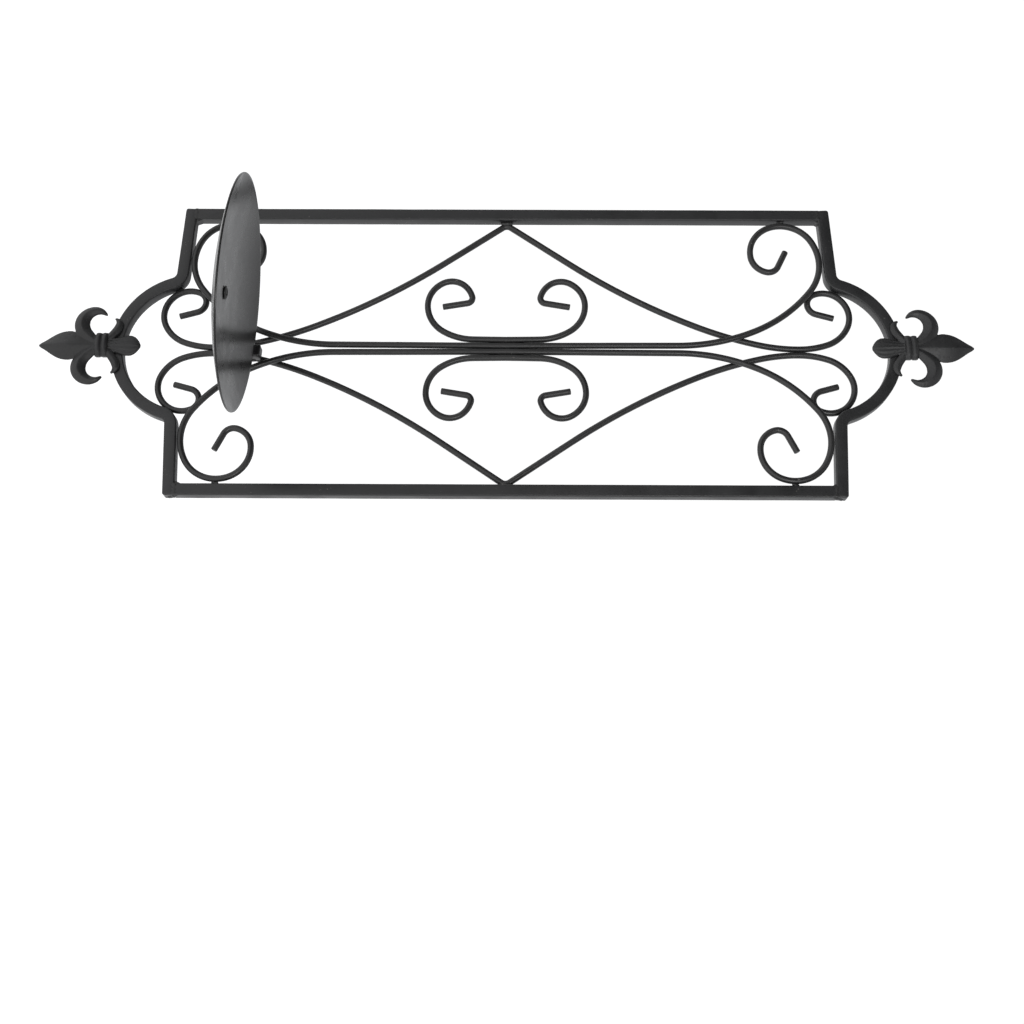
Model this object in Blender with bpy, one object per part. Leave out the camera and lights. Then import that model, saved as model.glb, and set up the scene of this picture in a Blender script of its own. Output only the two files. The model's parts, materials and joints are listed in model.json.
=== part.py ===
"""Wall sconce candle holder: an upright scrollwork panel of square bar and round rod, a cast
fleur-de-lis at each end, and a spun candle dish screwed to an arm near the bottom.

+Z is up, +X is to the right of someone facing the sconce, and -Y points out from the wall.
The origin is the middle of the panel's back, on the wall. The sizes below are in millimetres.
"""
import math

import bmesh
import bpy
from mathutils import Euler, Matrix, Vector

MM = 0.001
GAP = 0.3                      # clearance left between pieces that touch

# Square bar frame
BAR = 6.35
BAR_CHAMFER = 0.55
PANEL_MIDDLE = -BAR / 2        # the bars' centre plane: their backs lie on the wall at Y = 0
PANEL_FRONT = -BAR
PANEL_HALF_WIDTH = 82.4        # panel centre to a rail's centre line
ARCH_APEX = 214.4              # panel centre to the centre line at the top of the arch
ARCH_RADIUS = 40.8
ARCH_HALF_ANGLE = 72.0
SHOULDER_BEND_RADIUS = 7.0
SHOULDER_SPLAY = 3.0           # how far each shoulder leans outwards, in degrees

# Round rod scrolls
ROD_RADIUS = 1.6
LAYER_SHIFT = 1.75             # long and short scrolls lie in front of the V scrolls
FRONT_LAYER = PANEL_MIDDLE - LAYER_SHIFT
BACK_LAYER = PANEL_MIDDLE + LAYER_SHIFT

# Candle dish and its arm
DISH_REACH = 70.8              # wall to the middle of the dish's rim
DISH_RIM_RADIUS = 59.5
DISH_RIM_HEIGHT = -133.7       # middle of the rim
DISH_FRONT_RISE = 3.4          # the dish tips up a little at the front, in degrees
DISH_SIDE_RISE = 3.7           # and at its left side
DISH_DEPTH = 7.8
DISH_FLOOR_RADIUS = 12.0
DISH_WALL = 1.0
DISH_RIM_LIP = 0.5             # how far the wall's outside stands out from the inside at the rim
SCREW_SEAT_RADIUS = 5.0        # the floor is pressed down a little under the screw head
SCREW_SEAT_DEPTH = 0.25
ARM_TAB_TOP = -134.2
ARM_YAW = 3.2                  # the arm runs a little askew, its tab standing to the right
ARM_BEND_RADIUS = 5.2
ARM_OVERHANG = 4.5             # how far the arm runs on past the screw
ARM_TIP_THICKNESS = 3.2        # the arm is drawn out thinner towards its tip
HOLE_RADIUS = 2.4
SCREW_RADIUS = 2.0
SCREW_LENGTH = 5.2
SCREW_HEAD = [(3.5, 0.0), (3.5, 0.4), (2.7, 1.05), (1.3, 1.3), (0.0, 1.3)]   # radius and height

# Weld beads
CORNER_BEAD = 3.2
CORNER_BEAD_DEPTH = 5.0
SCROLL_TACK = (5.0, 2.6)       # height and depth of the bead between a scroll and its rail
APEX_BEAD = (6.0, 2.4, 1.3)    # height, width and depth of the bead on a V scroll's apex

# Fleur-de-lis casting
FINIAL_THICKNESS = 4.6
FINIAL_BEVEL = 0.9

# A bend schedule is a list of steps along a rod: ("straight", length) or (bend radius, sweep in
# degrees), where a positive sweep turns left. Each one runs from the middle of its scroll outwards.
LONG_SCROLL = [("straight", 95.0), (110, 22.5), (82, 29), (27.5, 68), (19.5, 81), (17, 78),
               (11, 67), (6, 78), ("straight", 10.5)]
VEE_SCROLL = [("straight", 40.5), (380, 12), (212, 10), (97, 13), (49, 18.5), (20.5, 45.5),
              (15, 76), (13.4, 62), (6.3, 142), ("straight", 10)]
SHORT_SCROLL = [("straight", 18.3), (32.5, 31.5), (18.3, 58.5), (15.3, 61.5), (11, 70),
                (13.5, 33), (3.2, 95), ("straight", 14)]
VEE_APEX_HEIGHT = 77.3         # centre line at the apex, just inside the rail
VEE_APEX_RADIUS = 4.0
VEE_SLOPE = 34.7
SHORT_SCROLL_OFFSET = 5.75     # centre line of a short scroll's straight middle

IRON = (0.028, 0.028, 0.030)


def remove_everything():
    for old in list(bpy.data.objects):
        bpy.data.objects.remove(old, do_unlink=True)


def finish_material(name, colour, roughness, metallic):
    material = bpy.data.materials.new(name)
    material.use_nodes = True
    shader = material.node_tree.nodes["Principled BSDF"]
    shader.inputs["Base Color"].default_value = (*colour, 1)
    shader.inputs["Roughness"].default_value = roughness
    shader.inputs["Metallic"].default_value = metallic
    return material


def mesh_object(name, points, faces, material, smooth_below=None):
    """Makes an object from points in millimetres. Edges sharper than smooth_below stay sharp."""
    mesh = bpy.data.meshes.new(name)
    mesh.from_pydata([Vector(p) * MM for p in points], [], faces)
    mesh.materials.append(material)
    shell = bmesh.new()
    shell.from_mesh(mesh)
    bmesh.ops.recalc_face_normals(shell, faces=shell.faces)
    shell.to_mesh(mesh)
    shell.free()
    if smooth_below is not None:
        mesh.shade_smooth()
        mesh.set_sharp_from_angle(angle=math.radians(smooth_below))
    thing = bpy.data.objects.new(name, mesh)
    bpy.context.collection.objects.link(thing)
    return thing


def bend(start, heading, schedule, step=12.0):
    """Follows a bend schedule and returns the centre line's points."""
    points = [Vector(start)]
    angle = math.radians(heading)
    for kind, amount in schedule:
        if kind == "straight":
            points.append(points[-1] + amount * Vector((math.cos(angle), math.sin(angle))))
            continue
        sweep = math.radians(amount)
        side = math.copysign(1, sweep)
        centre = points[-1] + side * kind * Vector((-math.sin(angle), math.cos(angle)))
        fine = step if kind < 60 else step / 2
        count = max(2, math.ceil(abs(amount) / fine))
        for i in range(1, count + 1):
            turned = angle + sweep * i / count
            points.append(centre - side * kind * Vector((-math.sin(turned), math.cos(turned))))
        angle += sweep
    return points


def rod(name, points, layer, side, material):
    """A round rod along points of (height, distance from the centre line), on one side."""
    curve = bpy.data.curves.new(name, "CURVE")
    curve.dimensions = "3D"
    curve.bevel_depth = ROD_RADIUS * MM
    curve.bevel_resolution = 2
    curve.render_resolution_u = 0
    curve.use_fill_caps = True
    curve.materials.append(material)
    spline = curve.splines.new("POLY")
    spline.points.add(len(points) - 1)
    for target, (height, offset) in zip(spline.points, points):
        target.co = (side * offset * MM, layer * MM, height * MM, 1)
    spline.use_smooth = True
    thing = bpy.data.objects.new(name, curve)
    bpy.context.collection.objects.link(thing)
    return thing


def both_ends(half):
    """Adds the mirror image of a scroll's upper half below the panel's middle."""
    return [Vector((-p.x, p.y)) for p in reversed(half[1:])] + half


def long_scroll_line():
    start = (0, ROD_RADIUS + GAP / 2)
    return both_ends(bend(start, 0.3, LONG_SCROLL))


def vee_scroll_line():
    half = bend((0, VEE_APEX_HEIGHT), 0, [(VEE_APEX_RADIUS, -VEE_SLOPE)] + VEE_SCROLL)
    return both_ends(half)


def short_scroll_line():
    return both_ends(bend((0, SHORT_SCROLL_OFFSET), 0.8, SHORT_SCROLL))


def bar_profile():
    """The bar's cross-section: a square with its four edges chamfered."""
    half, cut = BAR / 2, BAR / 2 - BAR_CHAMFER
    return [(-half, -cut), (-cut, -half), (cut, -half), (half, -cut),
            (half, cut), (cut, half), (-cut, half), (-half, cut)]


def bar(name, line, place, material, tip=BAR):
    """Sweeps the bar's profile along a flat line. place turns (along, across, depth) into XYZ.
    tip is the thickness at the line's last point, taken off the side to the left of the line."""
    profile = bar_profile()
    points, faces = [], []
    for i, here in enumerate(line):
        before = (here - line[i - 1]).normalized() if i else None
        after = (line[i + 1] - here).normalized() if i + 1 < len(line) else None
        before, after = before or after, after or before
        along = (before + after).normalized()
        across = Vector((-along.y, along.x)) / along.dot(after)
        thin = tip / BAR if i + 1 == len(line) else 1
        for a, b in profile:
            spot = here + across * ((a + BAR / 2) * thin - BAR / 2)
            points.append(place(spot.x, spot.y, b))
    count = len(profile)
    for i in range(len(line) - 1):
        for j in range(count):
            k = (j + 1) % count
            first = i * count
            faces.append((first + j, first + k, first + count + k, first + count + j))
    faces.append(tuple(range(count)))
    faces.append(tuple(range(len(points) - count, len(points))))
    return mesh_object(name, points, faces, material, smooth_below=30)


def end_piece_line():
    """Half of an end piece, from the top of its arch out to its end on the right."""
    outward = [(ARCH_RADIUS, -ARCH_HALF_ANGLE),
               (SHOULDER_BEND_RADIUS, ARCH_HALF_ANGLE - SHOULDER_SPLAY)]
    half = bend((0, ARCH_APEX), 0, outward, step=9)
    run = PANEL_HALF_WIDTH + BAR / 2 - half[-1].x
    drop = run * math.tan(math.radians(SHOULDER_SPLAY))
    half.append(half[-1] + Vector((run, -drop)))
    return half


def shoulder_face(x):
    """Height of the end piece's inner face, at a distance x from the panel's middle."""
    corner = end_piece_line()[-1]
    splay = math.radians(SHOULDER_SPLAY)
    return corner.y - BAR / 2 / math.cos(splay) + (corner.x - x) * math.tan(splay)


def end_piece(name, up, material):
    half = end_piece_line()
    line = [Vector((-p.x, p.y)) for p in reversed(half[1:])] + half
    return bar(name, line, lambda x, z, y: (x, PANEL_MIDDLE + y, up * z), material)


def rail(name, side, material):
    """A rail stands between the two end pieces and butts against their inner faces."""
    half = shoulder_face(PANEL_HALF_WIDTH + BAR / 2) - GAP
    line = [Vector((-half, side * PANEL_HALF_WIDTH)), Vector((half, side * PANEL_HALF_WIDTH))]
    return bar(name, line, lambda z, x, y: (x, PANEL_MIDDLE + y, z), material)


def through_points(points, per_span=4):
    """A smooth closed line through points. A third value of True marks a point as a corner."""
    result = []
    total = len(points)
    for i in range(total):
        start, end = points[i], points[(i + 1) % total]
        a, b = Vector(start[:2]), Vector(end[:2])
        before = a if start[2] else Vector(points[i - 1][:2])
        after = b if end[2] else Vector(points[(i + 2) % total][:2])
        for k in range(per_span):
            t = k / per_span
            result.append(0.5 * (2 * a + (b - before) * t
                                 + (2 * before - 5 * a + 4 * b - after) * t * t
                                 + (3 * a - before - 3 * b + after) * t ** 3))
    return result


def finial_outline():
    """The fleur-de-lis from its tip down its right side, then mirrored up the left."""
    right = [(0, 42.6, True), (3.4, 37.6, False), (7.2, 32.6, False), (8.5, 27.6, False),
             (7.8, 23.4, True),
             (12.6, 24.2, False), (18.4, 21.6, False), (22.2, 16.8, False), (22.4, 11.8, False),
             (18.2, 8.6, True),
             (18.2, 12.4, False), (15.2, 15.8, False), (10.6, 16.0, False), (6.4, 13.8, True),
             (6.7, 9.8, False), (6.4, 5.8, True),
             (9.8, 2.8, False), (12.8, 2.4, False), (15.8, 3.8, True),
             (14.6, 0.2, False), (10.4, -1.8, False), (4.8, -2.6, True),
             (6.3, -6.6, False), (4.6, -10.4, False), (0, -12.6, True)]
    left = [(-x, z, corner) for x, z, corner in reversed(right[1:-1])]
    return through_points(right + left)


def finial(name, up, material):
    """A flat-backed casting that lies on the front of the arch."""
    outline = finial_outline()
    back = PANEL_FRONT - GAP
    front = back - FINIAL_THICKNESS
    count = len(outline)
    points = [(p.x, back, up * (ARCH_APEX + p.y)) for p in outline]
    points += [(p.x, front, up * (ARCH_APEX + p.y)) for p in outline]
    faces = [tuple(range(count)), tuple(range(count, 2 * count))]
    for i in range(count):
        k = (i + 1) % count
        faces.append((i, k, count + k, count + i))
    casting = mesh_object(name, points, faces, material, smooth_below=35)
    shape = bmesh.new()
    shape.from_mesh(casting.data)
    rim = [edge for edge in shape.edges
           if all(abs(v.co.y - front * MM) < 1e-6 for v in edge.verts)]
    bmesh.ops.bevel(shape, geom=rim, offset=FINIAL_BEVEL * MM, segments=1, affect="EDGES",
                    clamp_overlap=True)
    bmesh.ops.triangulate(shape, faces=shape.faces)
    shape.to_mesh(casting.data)
    shape.free()
    return casting


def prism(name, outline, low, high, material):
    """A prism whose outline of (x, z) points runs from depth low to depth high."""
    count = len(outline)
    points = [(x, low, z) for x, z in outline] + [(x, high, z) for x, z in outline]
    faces = [tuple(range(count)), tuple(range(count, 2 * count))]
    for i in range(count):
        k = (i + 1) % count
        faces.append((i, k, count + k, count + i))
    return mesh_object(name, points, faces, material)


def corner_weld(name, side, up, material):
    """A fillet bead in the inner corner between a rail and an end piece."""
    wall = PANEL_HALF_WIDTH - BAR / 2 - GAP
    reach = wall - CORNER_BEAD
    top, far_top = shoulder_face(wall) - GAP, shoulder_face(reach) - GAP
    outline = [(side * wall, up * top), (side * wall, up * (top - CORNER_BEAD)),
               (side * (wall - CORNER_BEAD * 0.35), up * (top - CORNER_BEAD * 0.35)),
               (side * reach, up * far_top)]
    half = CORNER_BEAD_DEPTH / 2
    return prism(name, outline, PANEL_MIDDLE - half, PANEL_MIDDLE + half, material)


def scroll_tack(name, side, up, material):
    """A small bead between a rail and the outermost point of a long scroll."""
    outermost = max(long_scroll_line(), key=lambda p: p.y)
    low = outermost.y + ROD_RADIUS + GAP
    high = PANEL_HALF_WIDTH - BAR / 2 - GAP
    tall, deep = SCROLL_TACK
    middle = up * abs(outermost.x)
    outline = [(side * low, middle - tall / 2), (side * high, middle - tall / 2),
               (side * high, middle + tall / 2), (side * low, middle + tall / 2)]
    return prism(name, outline, FRONT_LAYER - deep / 2, FRONT_LAYER + deep / 2, material)


def apex_weld(name, side, material):
    """A bead on the front of a V scroll's apex, against the rail."""
    tall, wide, deep = APEX_BEAD
    high = PANEL_HALF_WIDTH - BAR / 2 - GAP
    outline = [(side * high, -tall / 2), (side * high, tall / 2),
               (side * (high - wide), tall / 4), (side * (high - wide), -tall / 4)]
    back = BACK_LAYER - ROD_RADIUS - GAP
    return prism(name, outline, back - deep, back, material)


def dish_lean():
    """The turn that tips the dish: first up at the front, then up at its left side."""
    front, side = math.radians(DISH_FRONT_RISE), math.radians(DISH_SIDE_RISE)
    return Euler((-front, side, 0)).to_matrix()


def dish_middle():
    """The middle of the dish's floor."""
    rim_middle = Vector((0, -DISH_REACH, DISH_RIM_HEIGHT))
    return rim_middle - dish_lean() @ Vector((0, 0, DISH_DEPTH))


def turned(name, profile, segments, material, smooth_below=40):
    """Turns a closed profile about the dish's axis. Its heights are taken from the dish's floor."""
    lean, middle = dish_lean(), dish_middle()
    points, faces = [], []
    for i in range(segments):
        angle = 2 * math.pi * i / segments
        for radius, height in profile:
            spot = Vector((radius * math.cos(angle), radius * math.sin(angle), height))
            points.append(middle + lean @ spot)
    count = len(profile)
    for i in range(segments):
        here, there = i * count, (i + 1) % segments * count
        for j in range(count):
            k = (j + 1) % count
            faces.append((here + j, here + k, there + k, there + j))
    thing = mesh_object(name, points, faces, material, smooth_below)
    shape = bmesh.new()
    shape.from_mesh(thing.data)
    bmesh.ops.remove_doubles(shape, verts=shape.verts, dist=1e-6)
    shape.to_mesh(thing.data)
    shape.free()
    return thing


def dish_height(radius):
    """Height of the dish's inside above its floor: flat in the middle, then a round rise."""
    run = DISH_RIM_RADIUS - DISH_FLOOR_RADIUS
    bowl_radius = (run * run + DISH_DEPTH * DISH_DEPTH) / (2 * DISH_DEPTH)
    out = max(0.0, radius - DISH_FLOOR_RADIUS)
    return bowl_radius - math.sqrt(bowl_radius * bowl_radius - out * out)


def candle_dish(material):
    """A shallow bowl of even wall, pierced in the middle."""
    steps = 8
    radii = [DISH_FLOOR_RADIUS + (DISH_RIM_RADIUS - DISH_FLOOR_RADIUS) * i / steps
             for i in range(steps + 1)]
    inside = [(HOLE_RADIUS, -SCREW_SEAT_DEPTH),
              (SCREW_SEAT_RADIUS - SCREW_SEAT_DEPTH, -SCREW_SEAT_DEPTH),
              (SCREW_SEAT_RADIUS, 0)]
    inside += [(radius, dish_height(radius)) for radius in radii]
    outside = [(HOLE_RADIUS, -DISH_WALL)]
    for i, radius in enumerate(radii):
        outside.append((radius + DISH_RIM_LIP * i / steps, dish_height(radius) - DISH_WALL))
    return turned("candle_dish", inside + outside[::-1], 48, material)


def dish_arm(material):
    """An L of square bar: a short tab against the V scrolls, then the arm out under the dish,
    rising and leaning with it."""
    front, side = math.radians(DISH_FRONT_RISE), math.radians(DISH_SIDE_RISE)
    middle = dish_middle()
    askew = Matrix.Rotation(-math.radians(ARM_YAW), 3, dish_lean() @ Vector((0, 0, 1)))
    turn = askew @ Euler((0, side, 0)).to_matrix()
    tab = BACK_LAYER - ROD_RADIUS - GAP - BAR / 2 - middle.y
    under = -DISH_WALL - GAP - BAR / 2
    to_corner = (tab - under * math.sin(front)) / math.cos(front)
    corner = under * math.cos(front) - to_corner * math.sin(front)
    sweep = 90 + DISH_FRONT_RISE
    tangent = ARM_BEND_RADIUS * math.tan(math.radians(sweep / 2))
    top = ARM_TAB_TOP - middle.z
    line = bend((tab, top), -90,
                [("straight", top - corner - tangent), (ARM_BEND_RADIUS, -sweep),
                 ("straight", to_corner - tangent + ARM_OVERHANG)], step=18)
    arm = bar("dish_arm", line, lambda y, z, x: middle + turn @ Vector((x, y, z)), material,
              tip=ARM_TIP_THICKNESS)
    below = under - BAR
    drill = [(0, 0), (HOLE_RADIUS, 0), (HOLE_RADIUS, below), (0, below)]
    hole = turned("arm_hole_cutter", drill, 16, material)
    hole.hide_render = True
    hole.display_type = "WIRE"
    cut = arm.modifiers.new("screw_hole", "BOOLEAN")
    cut.operation = "DIFFERENCE"
    cut.object = hole
    return arm


def dish_screw(material):
    """A low round-headed screw down through the dish and into the arm."""
    seat = GAP - SCREW_SEAT_DEPTH
    end = seat - SCREW_LENGTH
    shank = [(0, end), (SCREW_RADIUS * 0.75, end), (SCREW_RADIUS, end + SCREW_RADIUS * 0.25),
             (SCREW_RADIUS, seat)]
    head = [(radius, seat + height) for radius, height in SCREW_HEAD]
    turned("dish_screw", shank + head, 16, material)


def build():
    remove_everything()
    frame = finish_material("frame_black", IRON, 0.42, 0.1)
    scrolls = finish_material("scroll_black", IRON, 0.40, 0.1)
    cast = finish_material("cast_black", (0.025, 0.025, 0.026), 0.5, 0.1)
    dish = finish_material("dish_black", (0.045, 0.044, 0.044), 0.3, 0.2)
    steel = finish_material("screw_black", (0.03, 0.03, 0.03), 0.35, 0.4)
    weld = finish_material("weld_black", IRON, 0.5, 0.1)

    for side_name, side in (("left", -1), ("right", 1)):
        rail(f"rail_{side_name}", side, frame)
        rod(f"long_scroll_{side_name}", long_scroll_line(), FRONT_LAYER, side, scrolls)
        rod(f"vee_scroll_{side_name}", vee_scroll_line(), BACK_LAYER, side, scrolls)
        rod(f"short_scroll_{side_name}", short_scroll_line(), FRONT_LAYER, side, scrolls)
        apex_weld(f"apex_weld_{side_name}", side, weld)
        for end_name, up in (("top", 1), ("bottom", -1)):
            corner_weld(f"corner_weld_{end_name}_{side_name}", side, up, weld)
            scroll_tack(f"scroll_tack_{end_name}_{side_name}", side, up, weld)
    for end_name, up in (("top", 1), ("bottom", -1)):
        end_piece(f"arch_{end_name}", up, frame)
        finial(f"finial_{end_name}", up, cast)
    dish_arm(frame)
    candle_dish(dish)
    dish_screw(steel)


build()
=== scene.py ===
"""The looks of the wall sconce: black powder-coated bar, rod, castings and a spun candle dish.

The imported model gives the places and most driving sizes, and each CAD node is replaced by a finer
piece here. Sizes are in millimetres, in the model's own frame: +Z up, -Y out from the wall.
"""
import json
import math

import bmesh
import bpy
from mathutils import Euler, Matrix, Vector, noise


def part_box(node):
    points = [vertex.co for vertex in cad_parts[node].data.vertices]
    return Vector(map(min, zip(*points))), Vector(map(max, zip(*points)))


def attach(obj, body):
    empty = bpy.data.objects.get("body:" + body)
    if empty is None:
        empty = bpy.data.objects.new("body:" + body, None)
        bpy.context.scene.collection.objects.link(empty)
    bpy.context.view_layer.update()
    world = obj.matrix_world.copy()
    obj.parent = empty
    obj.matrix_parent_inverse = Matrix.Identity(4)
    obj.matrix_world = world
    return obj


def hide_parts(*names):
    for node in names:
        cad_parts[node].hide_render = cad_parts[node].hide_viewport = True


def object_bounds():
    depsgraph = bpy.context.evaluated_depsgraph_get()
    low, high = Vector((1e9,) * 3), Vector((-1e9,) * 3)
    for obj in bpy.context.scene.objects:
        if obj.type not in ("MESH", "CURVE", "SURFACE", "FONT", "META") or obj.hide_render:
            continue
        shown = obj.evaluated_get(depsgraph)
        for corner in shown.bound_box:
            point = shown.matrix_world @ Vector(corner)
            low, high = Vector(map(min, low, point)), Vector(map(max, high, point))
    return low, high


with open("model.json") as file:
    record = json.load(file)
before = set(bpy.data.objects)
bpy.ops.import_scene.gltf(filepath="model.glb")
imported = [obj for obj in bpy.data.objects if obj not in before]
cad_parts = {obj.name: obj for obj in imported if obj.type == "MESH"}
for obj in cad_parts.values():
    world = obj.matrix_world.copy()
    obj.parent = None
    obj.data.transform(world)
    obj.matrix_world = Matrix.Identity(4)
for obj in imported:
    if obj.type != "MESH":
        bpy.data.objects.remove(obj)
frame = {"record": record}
CAD_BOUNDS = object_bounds()

MM = 0.001
SIDES = (("left", -1), ("right", 1))
ENDS = (("top", 1), ("bottom", -1))


def cad_box(node):
    """Lowest and highest corners of a CAD node, in millimetres."""
    low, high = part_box(node)
    return low / MM, high / MM


RAIL_LOW, RAIL_HIGH = cad_box("rail_right")
LONG_LOW, LONG_HIGH = cad_box("long_scroll_right")
VEE_LOW, VEE_HIGH = cad_box("vee_scroll_right")
ARM_LOW, ARM_HIGH = cad_box("dish_arm")
ARCH_TOP = cad_box("arch_top")[1].z

# The CAD leaves a gap between pieces that touch. Here each piece is half a gap fuller, so they meet.
GAP = 0.3

# Square bar
BAR = RAIL_HIGH.x - RAIL_LOW.x + GAP
RAIL_X = (RAIL_LOW.x + RAIL_HIGH.x) / 2
RAIL_END = RAIL_HIGH.z
PANEL_MIDDLE = RAIL_HIGH.y - BAR / 2
PANEL_FRONT = PANEL_MIDDLE - BAR / 2
BAR_ROUNDING = 0.75
CORNER_STEPS = 4
RAIL_OVERRUN = 0.7             # how far a rail runs on into its corner welds
RAIL_END_ROUNDING = 0.3
ARCH_APEX = ARCH_TOP - (BAR - GAP) / 2
ARCH_RADIUS = 40.8
ARCH_HALF_ANGLE = 72.0
SHOULDER_BEND_RADIUS = 7.0
SHOULDER_SPLAY = 3.0
END_GROUND = (2.2, 1.6)        # how far its outer corners are ground round, left and right

# Round rod. A bend schedule runs from the middle of a scroll outwards: ("straight", length) or
# (bend radius, sweep in degrees), where a positive sweep turns left.
ROD_RADIUS = (LONG_HIGH.y - LONG_LOW.y) / 2 + GAP / 2
FRONT_LAYER = (LONG_LOW.y + LONG_HIGH.y) / 2
BACK_LAYER = (VEE_LOW.y + VEE_HIGH.y) / 2
LONG_SCROLL = [("straight", 95.0), (110, 22.5), (82, 29), (27.5, 68), (19.5, 81), (17, 78),
               (11, 67), (6, 78), ("straight", 10.5)]
VEE_SCROLL = [(4, -34.7), ("straight", 40.5), (380, 12), (212, 10), (97, 13), (49, 18.5),
              (20.5, 45.5), (15, 76), (13.4, 62), (6.3, 142), ("straight", 10)]
SHORT_SCROLL = [("straight", 18.3), (32.5, 31.5), (18.3, 58.5), (15.3, 61.5), (11, 70),
                (13.5, 33), (3.2, 95), ("straight", 14)]
LONG_SCROLL_START = ROD_RADIUS
VEE_APEX_OFFSET = VEE_HIGH.x - ROD_RADIUS + GAP / 2
SHORT_SCROLL_START = LONG_SCROLL_START + 2 * ROD_RADIUS + 0.1
SCROLLS = [("long_scroll", ((0, LONG_SCROLL_START), 0.3, LONG_SCROLL), FRONT_LAYER),
           ("vee_scroll", ((0, VEE_APEX_OFFSET), 0, VEE_SCROLL), BACK_LAYER),
           ("short_scroll", ((0, SHORT_SCROLL_START), 0.8, SHORT_SCROLL), FRONT_LAYER)]

# Dish, arm and screw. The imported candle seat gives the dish's place and how it leans; its point
# lies on the floor, a little to the right of the screw.
SEAT = next(mount for mount in frame["record"]["mounts"] if mount["name"] == "candle_seat")
SEAT_DIRECTION = math.radians(3.75)
SEAT_OUT = 8.5
DISH_UP = Vector(SEAT["axis"]).normalized()
FRONT_RISE = math.asin(DISH_UP.y)
SIDE_RISE = math.atan2(DISH_UP.x, DISH_UP.z)
LEAN = Euler((-FRONT_RISE, SIDE_RISE, 0)).to_matrix()
SEAT_SPOT = Vector((math.cos(SEAT_DIRECTION), math.sin(SEAT_DIRECTION), 0)) * SEAT_OUT
DISH_MIDDLE = Vector(SEAT["pos_m"]) / MM - LEAN @ SEAT_SPOT
RIM_RADIUS = 59.5
DISH_DEPTH = 7.8
DISH_WALL = 1.0
DISH_FLOOR_RADIUS = 12.0
RIM_LIP = [(0.18, 0.02), (0.38, -0.12), (0.48, -0.42), (0.46, -0.78)]   # out and up from the edge
RIM_SPREAD = 0.5               # how much wider the outside is at the rim
DISH_UNTRUE = ((2, 0.16, 0.7), (3, 0.08, 2.0))   # waves round the rim: number, height, phase
SCREW_SEAT_RADIUS = 5.0
SCREW_SEAT_DEPTH = 0.25
HOLE_RADIUS = 2.4
HOLE_SOFTENING = 0.3
HEAD_RADIUS = 3.5
HEAD_HEIGHT = 1.3
RECESS_DEPTH = 0.75
RECESS_HALF_WIDTH = 0.55
RECESS_REACH = 1.9
RECESS_TURN = 0.5
SCREW_LENGTH = 5.2
SCREW_TIP = [(0.9, 0), (1.5, 0.06)]      # radius, height above the tip
THREAD_RADIUS = 2.0
THREAD_DEPTH = 0.34
THREAD_PITCH = 0.7
ARM_BEND_RADIUS = 5.2
ARM_OVERHANG = 4.5
ARM_TIP_THICKNESS = 3.2
ARM_CLEARANCE = 0.05
ARM_TOP = ARM_HIGH.z - 0.2     # of its centre line: the leaning bar's corner stands higher
ARM_YAW = math.radians(3.2)    # the arm runs a little askew, its tab standing to the right

# Studio. The camera stands out in front of the panel and to its right, and is turned on its side,
# so that the sconce lies across the picture with its top to the right.
CAMERA_AIM = (93.6, -3.2, 3.7)
CAMERA_DISTANCE = 711.8
CAMERA_AZIMUTH = 17.25
CAMERA_ELEVATION = 0.19
CAMERA_ROLL = 90.23
CAMERA_LENS = 47.07            # for a sensor 36 wide

BRIGHT_TURN = math.radians(26)     # the surround is brightest behind the sconce and to its right
BRIGHT_SIDE = (math.sin(BRIGHT_TURN), math.cos(BRIGHT_TURN), 0)
FLOOR_DROP = 42.0              # clear space between the lower finial and the floor
FLOOR_HALF = 40.0              # in metres, so that its edges are never seen
SEEN_STRENGTH = 1.05           # the surround as the camera sees it
FELT_TURN = (-0.35, 0.8)       # the light it gives grows between these shares of the way to that
FELT_STRENGTH = (0.15, 1.0)    # side, from the first strength to the second


# ---------------------------------------------------------------- meshes

def skin(name, points, faces, material, sharp=40):
    """A closed mesh object from points in millimetres, smooth but for edges sharper than given."""
    mesh = bpy.data.meshes.new(name)
    mesh.from_pydata([Vector(p) * MM for p in points], [], faces)
    shell = bmesh.new()
    shell.from_mesh(mesh)
    bmesh.ops.remove_doubles(shell, verts=shell.verts, dist=1e-7)
    bmesh.ops.recalc_face_normals(shell, faces=shell.faces)
    shell.to_mesh(mesh)
    shell.free()
    mesh.materials.append(material)
    mesh.shade_smooth()
    if sharp:
        mesh.set_sharp_from_angle(angle=math.radians(sharp))
    thing = bpy.data.objects.new(name, mesh)
    bpy.context.collection.objects.link(thing)
    return thing


def loft(rings, loop=False):
    """Points and faces of a skin through rings of equal count. A loop's last ring meets its first."""
    count = len(rings[0])
    points = [p for ring in rings for p in ring]
    faces = []
    for i in range(len(rings) if loop else len(rings) - 1):
        here, there = i * count, (i + 1) % len(rings) * count
        for j in range(count):
            k = (j + 1) % count
            faces.append((here + j, here + k, there + k, there + j))
    if not loop:
        faces += [tuple(range(count)), tuple(range(len(points) - count, len(points)))]
    return points, faces


def wobble(x, y, z, scale, seed):
    """Smooth noise between about -1 and 1; scale is the size of its lumps."""
    return noise.noise(Vector((x / scale + seed * 7.3, y / scale - seed * 3.1, z / scale)))


# ---------------------------------------------------------------- lines

STRAIGHT_STEP = 4.0
WIDE_BEND = 60.0               # a bend at least this wide is cut three times finer


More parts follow.
